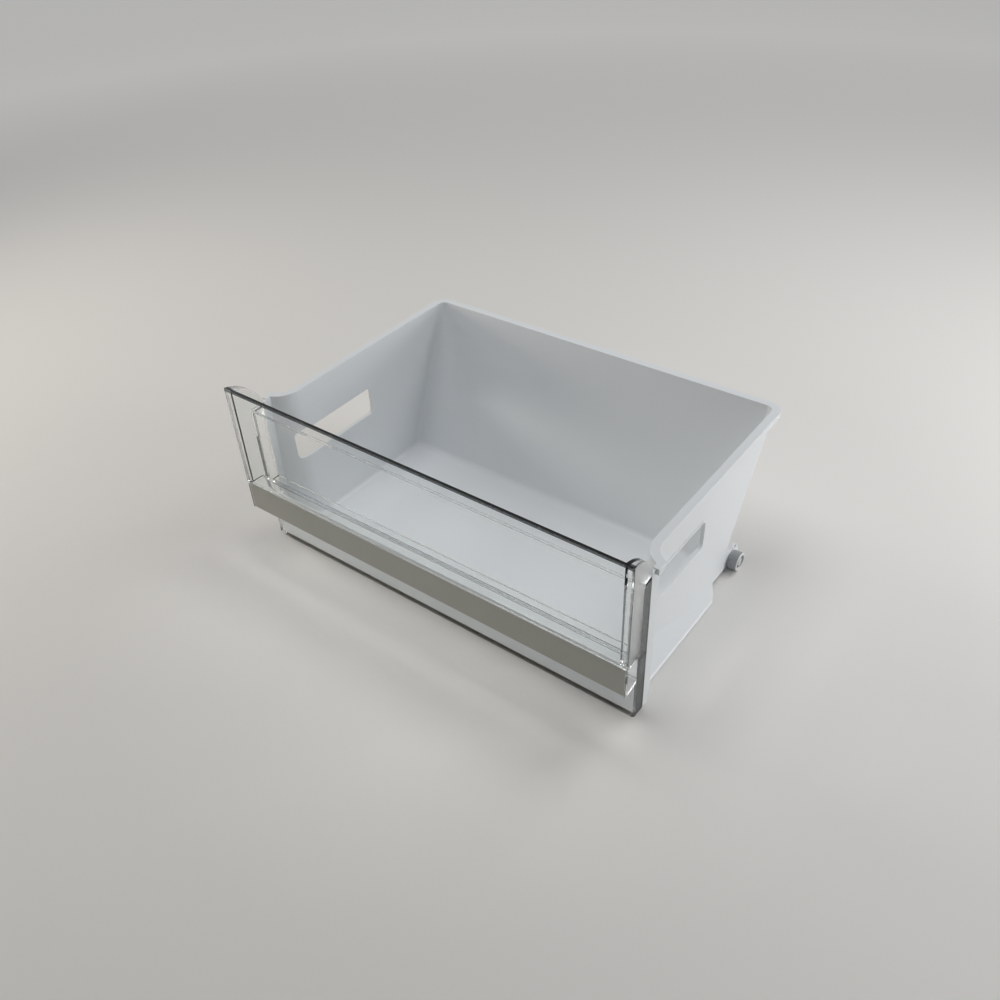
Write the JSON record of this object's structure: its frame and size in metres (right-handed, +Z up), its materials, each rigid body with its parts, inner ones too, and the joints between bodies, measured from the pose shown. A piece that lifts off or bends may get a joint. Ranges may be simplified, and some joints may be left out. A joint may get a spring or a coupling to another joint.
{
  "type": "refrigerator drawer",
  "caption": "Freezer drawer: a white tub with a sloped back, hand holds and runner skirts, a clear front with a finger pull, and rear rollers.",
  "frame": {"origin": "centre of the bottom of the drawer's bounding box, on the surface that its rollers and runners stand on", "axes": "+X across the drawer to the right as seen from the front, +Y from the clear front to the sloped back, +Z up"},
  "size_m": [0.457, 0.3104, 0.199],
  "materials": {
    "tub_white": "glossy",
    "frame_clear": "clear, glossy",
    "window_clear": "clear, glossy",
    "trim_grey": "satin",
    "pin_grey": "satin",
    "roller_white": "satin"
  },
  "bodies": {
    "drawer": {"tub": "tub_white", "front_frame": "frame_clear", "front_window": "window_clear", "handle_trim": "trim_grey", "axle_pin_left": "pin_grey", "axle_pin_right": "pin_grey"},
    "left_roller": {"roller_left": "roller_white"},
    "right_roller": {"roller_right": "roller_white"}
  },
  "joints": [
    {"name": "left_roller_turn", "type": "hinge", "parent": "drawer", "child": "left_roller", "pos_m": [-0.20925, 0.09575, 0.01], "axis": [1, 0, 0], "continuous": true},
    {"name": "right_roller_turn", "type": "hinge", "parent": "drawer", "child": "right_roller", "pos_m": [0.20925, 0.09575, 0.01], "axis": [1, 0, 0], "continuous": true}
  ]
}
